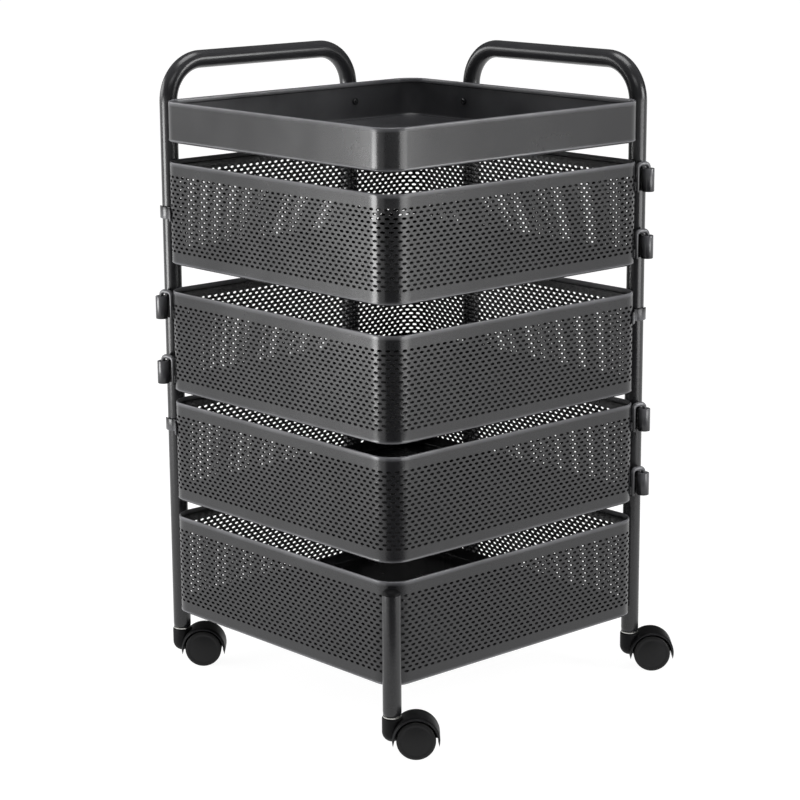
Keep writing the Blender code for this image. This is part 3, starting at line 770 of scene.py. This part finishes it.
hinges = {"second": "right", "third": "left", "fourth": "right"}
reach = CORNER_R + ROD_GAP + ROD_R
on_right = CORNER_C + reach * np.array([math.cos(HOOK_ANGLE), math.sin(HOOK_ANGLE)])
welds = {"right": MIDDLE + on_right, "left": MIDDLE - on_right[::-1]}
corners = {"right": MIDDLE + CORNER_C, "left": MIDDLE - CORNER_C}
for name, side in hinges.items():
    axis = np.array(joints[name + "_basket_swing"]["pos_m"])
    outwards = (welds[side] - corners[side]) / reach
    tangent = np.array([-outwards[1], outwards[0]])
    for level in ("upper", "lower"):
        low, high = (corner.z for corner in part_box(f"{name}_{level}_sleeve"))
        shells = [sleeve(axis, low, high), *beads_between(poles[side], axis, low, high)]
        dress(
            f"{name}_{level}_hinge_tube", mesh_of("hinge_tube", shells), coat, "tower",
            [f"{name}_{level}_sleeve"], lambda points, level=high: 0.8 * near(points[:, 2], level, 1.5 * MM),
        )
        foot = corners[side] + (CORNER_R + 0.4 * BEAD_R) * outwards
        shells = [hook(welds[side], axis, low, high)]
        for way in (-1, 1):
            line = foot + way * 0.9 * ROD_R * tangent
            shells.append(bead([*line, low + 2 * MM], [*line, low + 12 * MM]))
        # The hook's arch is painted paler on top, as a painted highlight.
        dress(
            f"{name}_{level}_hinge_rod", mesh_of("hinge_rod", shells), coat, name + "_basket_body",
            [f"{name}_{level}_hook"],
            lambda points, level=high: near(points[:, 2], level + 8 * MM, 6 * MM),
        )
print("hinges:", 2 * len(hinges))

# %% [markdown]
# ## Catch clips
# On the corner away from its hinge, each middle basket carries a strap that comes to rest round the front
# of the other pole and stops it from swinging in too far. In plan the strap is an arc on the basket's
# corner, a short straight lead and an arc round the pole. A slim rounded rectangle is carried along it.

# %% Catch clips
CLIP_THICKNESS = 2.2 * MM
CLIP_EDGE_R = 0.8 * MM
CLIP_CLEARANCE = 0.4 * MM
CLIP_FOOT_ANGLE = math.radians(34)
CLIP_WRAP_START = math.radians(-55)
CLIP_WRAP_FROM_RELEASE = math.radians(-84)
CLIP_LEAD_ANGLE = math.radians(6)
CLIP_STEPS = 26


def arc(centre, radius, start, stop):
    """Arc in plan, from one angle to another."""
    angle = np.linspace(start, stop, CLIP_STEPS)[:, None]
    return centre + radius * np.concatenate([np.cos(angle), np.sin(angle)], axis=1)


def clip_line(pole, corner, hinge):
    """Middle line of a strap on the left pole, seen from above."""
    away = pole - hinge
    release = math.atan2(away[0], -away[1])
    wrap_r = TUBE_R + CLIP_CLEARANCE + CLIP_THICKNESS / 2
    wrap = arc(pole, wrap_r, CLIP_WRAP_START, release + CLIP_WRAP_FROM_RELEASE)
    lead = wrap[0] - corner
    foot_end = math.atan2(lead[1], lead[0]) + CLIP_LEAD_ANGLE
    foot_r = CORNER_R + ROD_GAP + CLIP_THICKNESS / 2
    return np.concatenate([arc(corner, foot_r, foot_end + CLIP_FOOT_ANGLE, foot_end), wrap])


def strap(line, low, high):
    """Rounded rectangle along a level line. Its corners are quarter circles, its ends close in a little."""
    slope = np.gradient(line, axis=0)
    slope /= np.linalg.norm(slope, axis=1, keepdims=True)
    sideways = np.column_stack([-slope[:, 1], slope[:, 0], np.zeros(len(line))])
    turn = np.linspace(0, math.pi / 2, 4)
    start = math.pi / 2 * np.arange(4)[:, None]
    half = np.array([CLIP_THICKNESS / 2 - CLIP_EDGE_R, (high - low) / 2 - CLIP_EDGE_R])
    signs = np.array([[1, 1], [-1, 1], [-1, -1], [1, -1]])[:, None, :]
    bend = np.stack([np.cos(start + turn), np.sin(start + turn)], axis=-1)
    section = (signs * half + CLIP_EDGE_R * bend).reshape(-1, 2)
    thin = np.ones(len(line))
    thin[[0, -1]] = 0.6
    middle = np.column_stack([line, np.full(len(line), (low + high) / 2)])
    offset = section[None, :, :1] * thin[:, None, None] * sideways[:, None, :]
    tall = 1 - (1 - thin) * 0.15
    rings = middle[:, None, :] + offset + section[None, :, 1:] * tall[:, None, None] * UP
    return tube_of_rings(rings)


def across_diagonal(places):
    """Mirror places in plan across the tower's front-to-back diagonal."""
    return MIDDLE - (np.asarray(places) - MIDDLE)[..., ::-1]


for name, side in hinges.items():
    hinge = np.array(joints[name + "_basket_swing"]["pos_m"])[:2]
    hinge = hinge if side == "right" else across_diagonal(hinge)
    line = clip_line(poles["left"][:2], MIDDLE - CORNER_C, hinge)
    line = line if side == "right" else across_diagonal(line)
    low, high = (corner.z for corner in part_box(name + "_catch_clip"))
    dress(
        name + "_catch_strap", mesh_of("catch_strap", [strap(line, low, high)]), coat, name + "_basket_body",
        [name + "_catch_clip"], lambda points, low=low: 0.6 * near(points[:, 2], low, 2 * MM),
    )
print("clips:", len(hinges))

# %% [markdown]
# ## Casters
# Each caster is a moulded hood over two wheels. The hood is a half drum with a middle web, a boss round
# the stem in front and slanted tips at both ends. Its section across the wheels is turned about the axle.
# The outer skin goes on further than the inner one, which gives the pointed tips. Boss and axle lobe are
# turned shapes that run into it. The hood is worked out once and placed five times.

# %% Caster hood
WHEEL_R = 21 * MM
TRAIL = 25 * MM
HALF_WEB = 5.5 * MM
HALF_HOOD = 16.8 * MM
WELL_R = 23 * MM
HOOD_R = 25.5 * MM
SHOULDER_R = 4.5 * MM
LIP_R = 0.7 * MM
WEB_INNER_R = 3 * MM
LOBE_R = 7 * MM
TIP_REACH = math.radians(17)
BOSS_R = 11 * MM
BOSS_NOSE = 16 * MM
NOSE_RISE = 11 * MM
BOSS_EASE = 1.2 * MM
BOSS_BELOW_TUBE = 2.2 * MM
HOOD_STEPS = 60
axle_line = Matrix.Translation((TRAIL, 0, WHEEL_R)) @ Matrix.Rotation(math.pi / 2, 4, "X")


def hood_section():
    """Half of the hood's section as radius and distance from its middle: web, well, lip, shoulder, crown."""
    turn = np.linspace(0, math.pi / 2, 8)
    lip = np.linspace(-math.pi / 2, 0, 4)
    shoulder_rise = 0.55 * SHOULDER_R
    parts = [
        [[WEB_INNER_R, HALF_WEB], [WELL_R - 1 * MM, HALF_WEB], [WELL_R, HALF_WEB + 1 * MM]],
        np.column_stack([WELL_R + LIP_R + LIP_R * np.sin(lip), HALF_HOOD - LIP_R + LIP_R * np.cos(lip)]),
        np.column_stack([
            HOOD_R - shoulder_rise + shoulder_rise * np.sin(turn),
            HALF_HOOD - SHOULDER_R + SHOULDER_R * np.cos(turn),
        ]),
    ]
    return np.concatenate(parts)


half = hood_section()
section = np.concatenate([half, half[::-1] * (1, -1)])
reach = TIP_REACH * np.clip((section[:, 0] - WELL_R) / (HOOD_R - WELL_R), 0, 1)
share = np.linspace(0, 1, HOOD_STEPS)[:, None]
sweep = -reach + share * (math.pi + 2 * reach)
drum = tube_of_rings(np.stack([
    TRAIL + section[:, 0] * np.cos(sweep), np.broadcast_to(section[:, 1], sweep.shape),
    WHEEL_R + section[:, 0] * np.sin(sweep),
], axis=-1))

boss_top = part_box("front_leg")[0].z - BOSS_BELOW_TUBE
ease = np.linspace(0, math.pi / 2, 6)
nose = np.linspace(0.08, math.pi / 2, 9)
boss_profile = np.concatenate([
    np.column_stack([BOSS_R * np.sin(nose), BOSS_NOSE + NOSE_RISE * (1 - np.cos(nose))]),
    np.column_stack([BOSS_R - BOSS_EASE * (1 - np.cos(ease)), boss_top - BOSS_EASE * (1 - np.sin(ease))]),
])
boss = turned(boss_profile, 40)
lobe_edge = 0.8 * MM
lobe_profile = [
    [LOBE_R - lobe_edge, -HALF_WEB], [LOBE_R, lobe_edge - HALF_WEB], [LOBE_R, HALF_WEB - lobe_edge],
    [LOBE_R - lobe_edge, HALF_WEB],
]
lobe = moved(turned(lobe_profile, 32), axle_line)

hood_shells = [drum, boss, lobe]
print("hood:", sum(len(points) for points, faces in hood_shells), "points")

# %% [markdown]
# ### Wheels and stems
# A wheel is a turned profile: a low dome with a fine raised edge outside, a slightly crowned tread with
# eased corners, and a recessed inner side with a hub. The stem is turned too: a plug up the tube, the
# bright collar that shows as a thin line under each tube, and a pin down into the hood.

# %% Wheels, stems and axles
WHEEL_WIDTH = 10 * MM
WHEEL_DOME = 2.2 * MM
WHEEL_EDGE = 1.6 * MM
WHEEL_SIDE_GAP = 0.5 * MM
WHEEL_RECESS = 1.5 * MM
HUB_R = 5 * MM
BORE_R = 2.8 * MM
BORE_DEPTH = 7 * MM
WHEEL_SIDES = 72
STEM_PIN_R = 3 * MM
COLLAR = 1.6 * MM
PLUG_R = TUBE_R - TUBE_WALL - 0.7 * END_TAPER

dish = np.linspace(0.02, 1, 10)
corner_turn = np.linspace(0, math.pi / 2, 6)
edge_out, edge_over = WHEEL_EDGE * np.sin(corner_turn), WHEEL_EDGE * np.cos(corner_turn)
face_r = WHEEL_R - WHEEL_EDGE
wheel_profile = np.concatenate([
    np.column_stack([0.86 * face_r * dish, WHEEL_WIDTH + WHEEL_DOME * (1 - 0.8 * dish**2)]),
    [[0.88 * face_r, WHEEL_WIDTH + 0.25 * WHEEL_DOME], [0.91 * face_r, WHEEL_WIDTH + 0.32 * WHEEL_DOME]],
    np.column_stack([face_r + edge_out, WHEEL_WIDTH - WHEEL_EDGE + edge_over]),
    np.column_stack([face_r + edge_over, WHEEL_EDGE - edge_out]),
    [[face_r - 1 * MM, 0], [face_r - 2 * MM, WHEEL_RECESS], [HUB_R + 1 * MM, WHEEL_RECESS], [HUB_R, 0]],
    [[BORE_R + 0.2 * MM, 0], [BORE_R, 0.3 * MM], [BORE_R, BORE_DEPTH]],
])
wheel = turned(wheel_profile, WHEEL_SIDES)

tube_end = leg_low[2]
pin_low, plug_high = (corner.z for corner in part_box("front_leg_caster_stem"))
collar_top = tube_end - 0.3 * MM
collar_low = collar_top - COLLAR
stem_profile = [
    [PLUG_R - 1 * MM, plug_high], [PLUG_R, plug_high - 1 * MM], [PLUG_R, collar_top],
    [TUBE_R - 0.7 * MM, collar_top], [TUBE_R - 0.15 * MM, collar_top - 0.3 * MM],
    [TUBE_R - 0.15 * MM, collar_low + 0.3 * MM], [TUBE_R - 0.6 * MM, collar_low],
    [STEM_PIN_R, collar_low], [STEM_PIN_R, pin_low + 0.5 * MM], [STEM_PIN_R - 0.5 * MM, pin_low],
]
stem = turned(stem_profile, TUBE_SIDES)


def hood_edge_highlight(place, turn):
    """Painted highlight of a hood: a thin paler line along the edge of its skin on each side."""
    across = np.array([-math.sin(turn), math.cos(turn)])
    return lambda points: 0.55 * near(np.abs((points[:, :2] - place[:2]) @ across), HALF_HOOD, 1.0 * MM)


caster_names = [name[: -len("_swivel")] for name in joints if name.endswith("_swivel")]
for name in caster_names:
    place = np.array(joints[name + "_swivel"]["pos_m"])
    axle_way = joints[name + "_roll"]["axis"]
    turn = math.atan2(-axle_way[0], axle_way[1])
    stand = Matrix.Translation((place[0], place[1], 0)) @ Matrix.Rotation(turn, 4, "Z")
    node = name + "_caster_"
    turned_stem = mesh_of("steel_stem", [moved(stem, stand)])
    dress(node + "steel_stem", turned_stem, zinc, "tower", [node + "stem"])
    hood = mesh_of("moulded_hood", [moved(one, stand) for one in hood_shells])
    dress(
        node + "moulded_hood", hood, abs_plastic, name + "_hood", [node + "hood"],
        hood_edge_highlight(place, turn),
    )
    for side, way in (("near", 1), ("far", -1)):
        outward = Matrix.Rotation(way * math.pi / 2, 4, "X")
        shift = Matrix.Translation((TRAIL, -way * (HALF_WEB + WHEEL_SIDE_GAP), WHEEL_R))
        axle_place = np.array(stand @ Vector((TRAIL, 0, WHEEL_R)))
        tread = lambda points, centre=axle_place: 0.5 * near(
            np.linalg.norm(np.cross(points - centre, axle_way), axis=1), WHEEL_R, 1.2 * MM
        )
        dress(
            f"{node}{side}_nylon_wheel", mesh_of("nylon_wheel", [moved(wheel, stand @ shift @ outward)]),
            nylon, name + "_wheels", [f"{node}{side}_wheel"], tread,
        )
    axle = frame["nodes"][node + "axle"]
    axle.data.materials.clear()
    axle.data.materials.append(zinc)
print("casters:", len(caster_names))

# %% [markdown]
# ## Screws
# Pan-head screws hold the tray and the bottom basket to the tubes from inside. The head is a turned dome,
# and a cross recess is pressed into it by moving points: a point near the cross of two lines is lowered,
# so the recess needs no cutting.

# %% Screws
SCREW_R = 2 * MM
SCREW_HEAD_R = 4 * MM
SCREW_HEAD = 2.4 * MM
SCREW_EDGE = 0.3 * MM
SCREW_SHANK = 2.5 * MM
SCREW_SIDES = 48
RECESS_DEPTH = 1.1 * MM
RECESS_HALF_WIDTH = 0.55 * MM
RECESS_REACH = 2.3 * MM


def screw(shank):
    """Screw along the upright axis, its seat at the origin and its shank up; the head lies below.

    The head's face is a dome over radius and angle. It is raised into the head where the smaller of the
    two distances to the cross's lines is below half its width, out to the recess's reach.
    """
    radius = np.linspace(0.02, 1, 26) * SCREW_HEAD_R
    crown = -SCREW_HEAD * np.sqrt(1 - 0.62 * (radius / SCREW_HEAD_R) ** 2.6)
    profile = np.concatenate([
        np.column_stack([radius, crown]),
        [[SCREW_HEAD_R, -SCREW_EDGE], [SCREW_HEAD_R - SCREW_EDGE, 0]],
        [[SCREW_R, 0], [SCREW_R, shank], [0.3 * SCREW_R, shank + SCREW_R]],
    ])
    points, faces = turned(profile, SCREW_SIDES)
    off = np.minimum(np.abs(points[:, 0]), np.abs(points[:, 1]))
    out = np.hypot(points[:, 0], points[:, 1])
    side = np.clip((RECESS_HALF_WIDTH - off) / (0.35 * MM) + 0.5, 0, 1)
    end = np.clip((RECESS_REACH - out) / (0.6 * MM), 0, 1)
    head = points[:, 2] < -0.5 * MM
    points[:, 2] += head * side * end * RECESS_DEPTH
    return points, faces


seats = [name for name in frame["nodes"] if "_screw_" in name]
for name in seats:
    low, high = (np.array(corner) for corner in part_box(name))
    centre = (low + high) / 2
    outwards = np.append(np.sign(centre[:2] - MIDDLE), 0)
    flat = np.abs(high - low)[:2]
    if abs(flat[0] - flat[1]) < 1 * MM:
        aim = outwards / math.sqrt(2)
        length = (flat[0] - 2 * SCREW_HEAD_R * math.sqrt(0.5)) * math.sqrt(2)
    else:
        aim = outwards * (flat[0] > flat[1], flat[1] > flat[0], 0)
        length = max(flat)
    seat = centre + aim * (SCREW_HEAD - length / 2)
    turn = Vector((0, 0, 1)).rotation_difference(Vector(aim)).to_matrix().to_4x4()
    shell_here = moved(screw(SCREW_SHANK), Matrix.Translation(seat) @ turn)
    dress(name + "_cross_head", mesh_of("cross_head", [shell_here]), coat, "tower", [name])
print("screws:", len(seats))

# %% [markdown]
# ## Studio
# A pale floor runs out of sight on all sides. It is white for the camera and in reflections, by Light Path,
# let down a little under the trolley, and it keeps the trolley's shadow. The surround is dim, and white for
# the camera alone. Two soft boxes stand to the left and two to the right, one low and one at middle height,
# so each front wall gets its own broad sheen. A weaker one high in front and one overhead light the rims,
# the handles and the floors. A black card in front of the trolley keeps the corner between the walls dark,
# as on a photographer's table. Lamps and card stay out of the camera's sight.

# %% Floor
scene = bpy.context.scene
scene.view_settings.view_transform = "Standard"


def flat_sheet(name, corners):
    """Flat four-sided stage piece."""
    mesh = bpy.data.meshes.new(name)
    mesh.from_pydata(corners, [], [(0, 1, 2, 3)])
    sheet = bpy.data.objects.new(name, mesh)
    scene.collection.objects.link(sheet)
    return sheet


FAR = 60.0
UNDER = 0.5
OPEN_FLOOR = 1.6
floor = flat_sheet("floor", [(-FAR, -FAR, 0), (FAR, -FAR, 0), (FAR, FAR, 0), (-FAR, FAR, 0)])
pale = bpy.data.materials.new("pale_floor")
pale.use_nodes = True
tree = pale.node_tree
tree.nodes.clear()
rays = add_node(tree, "ShaderNodeLightPath", {}).outputs
seen = worked(tree, "MAXIMUM", rays["Is Camera Ray"], rays["Is Glossy Ray"])
seen = worked(tree, "MAXIMUM", seen, rays["Is Transmission Ray"])
where = add_node(tree, "ShaderNodeTexCoord", {}).outputs["Object"]
away = add_node(tree, "ShaderNodeVectorMath", {0: where}, operation="LENGTH").outputs["Value"]
shown = worked(tree, "MULTIPLY", seen, ranged(tree, away, 0.95, 1.0, UNDER, OPEN_FLOOR))
paper = mixed(tree, seen, "#ededed", "#7a7a7a")
matt = add_node(tree, "ShaderNodeBsdfDiffuse", {"Color": paper})
white = add_node(tree, "ShaderNodeEmission", {"Strength": shown})
lifted = add_node(tree, "ShaderNodeAddShader", {0: matt.outputs[0], 1: white.outputs[0]})
add_node(tree, "ShaderNodeOutputMaterial", {"Surface": lifted.outputs[0]})
floor.data.materials.append(pale)
print("floor:", floor.name)

# %% Surround
HORIZON = 0.06
OVERHEAD = 0.12

world = bpy.data.worlds.new("surround")
scene.world = world
world.use_nodes = True
tree = world.node_tree
tree.nodes.clear()
way = add_node(tree, "ShaderNodeTexCoord", {}).outputs["Generated"]
height = add_node(tree, "ShaderNodeSeparateXYZ", {0: way}).outputs["Z"]
level = ranged(tree, height, HORIZON, OVERHEAD, 0.2, 0.6)
level.node.interpolation_type = "SMOOTHSTEP"
rays = add_node(tree, "ShaderNodeLightPath", {}).outputs
level = worked(tree, "MAXIMUM", level, rays["Is Camera Ray"])
surround = add_node(tree, "ShaderNodeBackground", {"Strength": level})
surround.inputs["Color"].default_value = (1, 1, 1, 1)
add_node(tree, "ShaderNodeOutputWorld", {"Surface": surround.outputs[0]})
print("surround:", world.name)

# %% Black card
def around(azimuth, distance, height):
    """Place at an azimuth, counted like the camera's, and a distance from the middle of the stage."""
    angle = math.radians(azimuth)
    return Vector((distance * math.sin(angle), -distance * math.cos(angle), height))


CARD_HEIGHT = 2 * MM
CARD_EDGES = ((20, 0.9), (20, 7), (100, 7), (100, 0.9))
card = flat_sheet("black_card", [around(azimuth, distance, CARD_HEIGHT) for azimuth, distance in CARD_EDGES])
card.visible_camera = False
card.visible_shadow = False
velvet = bpy.data.materials.new("black_velvet")
velvet.use_nodes = True
cloth = velvet.node_tree.nodes["Principled BSDF"]
cloth.inputs["Base Color"].default_value = linear("#101010")
cloth.inputs["Roughness"].default_value = 0.9
card.data.materials.append(velvet)
print("card:", card.name)

# %% Lamps
def soft_box(name, size, watts):
    """Area lamp of a width and a height, out of the camera's sight. It shines down until it is turned."""
    lamp = bpy.data.lights.new(name, "AREA")
    lamp.shape = "RECTANGLE"
    lamp.size, lamp.size_y = size
    lamp.energy = watts
    stand = bpy.data.objects.new(name, lamp)
    scene.collection.objects.link(stand)
    stand.visible_camera = False
    return stand


upright_boxes = [
    ("left_low", -24, 1.8, 0.02, 0.6, 0.8, 18),
    ("left_middle", -56, 1.8, 0.7, 1.3, 1.4, 11),
    ("right_low", 104, 1.8, 0.02, 0.6, 1.2, 10),
    ("right_middle", 121, 1.8, 0.7, 1.3, 0.8, 13),
    ("front_high", 48, 2.4, 1.9, 2.7, 1.6, 9),
]
for name, azimuth, distance, low, high, width, watts in upright_boxes:
    stand = soft_box(name, (width, high - low), watts)
    stand.location = around(azimuth, distance, (low + high) / 2)
    stand.rotation_euler = (math.pi / 2, 0, math.radians(azimuth))

TOP_SIZE = 1.2
TOP_HEIGHT = 2.4
TOP_WATTS = 22
stand = soft_box("top_box", (TOP_SIZE, TOP_SIZE), TOP_WATTS)
stand.location = (0, 0, TOP_HEIGHT)
print("studio:", len(bpy.data.lights), "lamps")
